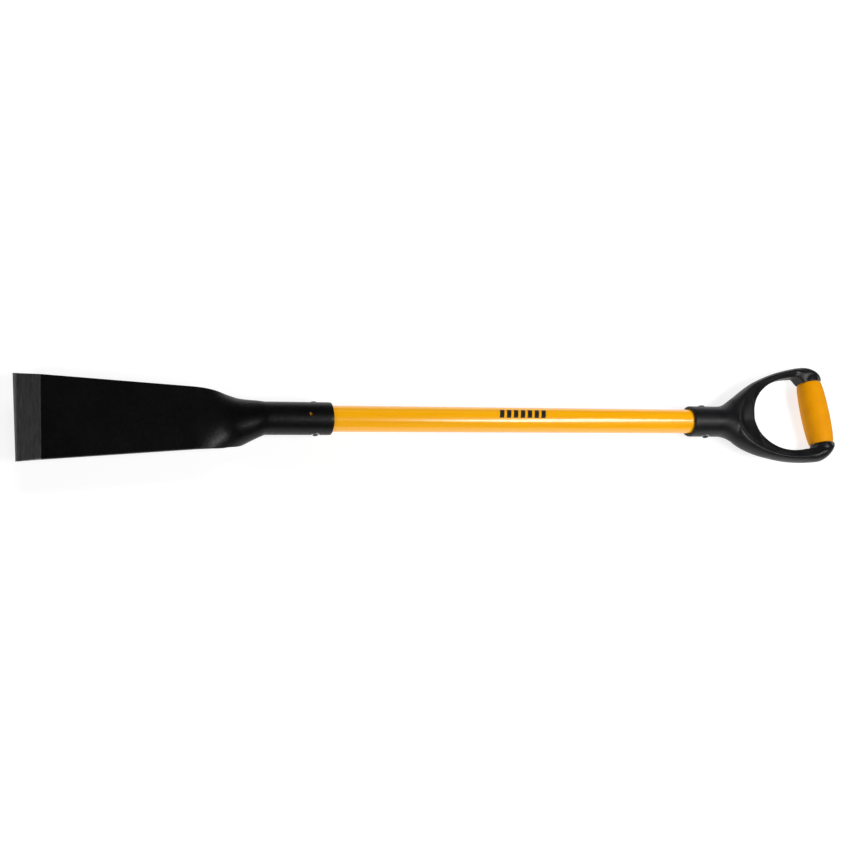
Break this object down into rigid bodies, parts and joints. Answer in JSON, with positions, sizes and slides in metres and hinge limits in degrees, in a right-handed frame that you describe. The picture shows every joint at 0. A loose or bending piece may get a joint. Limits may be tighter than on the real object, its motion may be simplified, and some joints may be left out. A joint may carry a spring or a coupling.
{
  "type": "grub hoe",
  "caption": "Long straight grub hoe: bevelled steel blade in line with a yellow glass-fibre shaft, riveted sockets and a black D grip with a soft sleeve.",
  "frame": {"origin": "under the middle of the tool's box, at the level of the lowest point, where the tool lies on the shoulder of its head", "axes": "+X from the cutting edge to the grip, along the level shaft; +Z out of the front of the blade, upwards; +Y across the blade"},
  "size_m": [1.194, 0.151, 0.0485],
  "materials": {
    "coated_steel": "fine-grained black powder coat, with a ground bare bevel",
    "black_rivet": "black oxide, worn on the domes",
    "bright_steel": "zinc plated",
    "glass_fibre": "smooth gloss amber resin over glass fibre",
    "dowel_wood": "plain turned hardwood",
    "black_moulding": "satin moulded plastic",
    "soft_grip": "soft satin rubber"
  },
  "bodies": {
    "root": {"blade_head": "coated_steel", "head_rivet": "black_rivet", "head_rivet_washer": "bright_steel", "shaft_tube": "glass_fibre", "head_dowel": "dowel_wood", "grip_dowel": "dowel_wood", "grip_frame": "black_moulding", "grip_rivet": "black_rivet", "grip_rivet_washer": "bright_steel", "grip_sleeve": "soft_grip"}
  },
  "joints": []
}
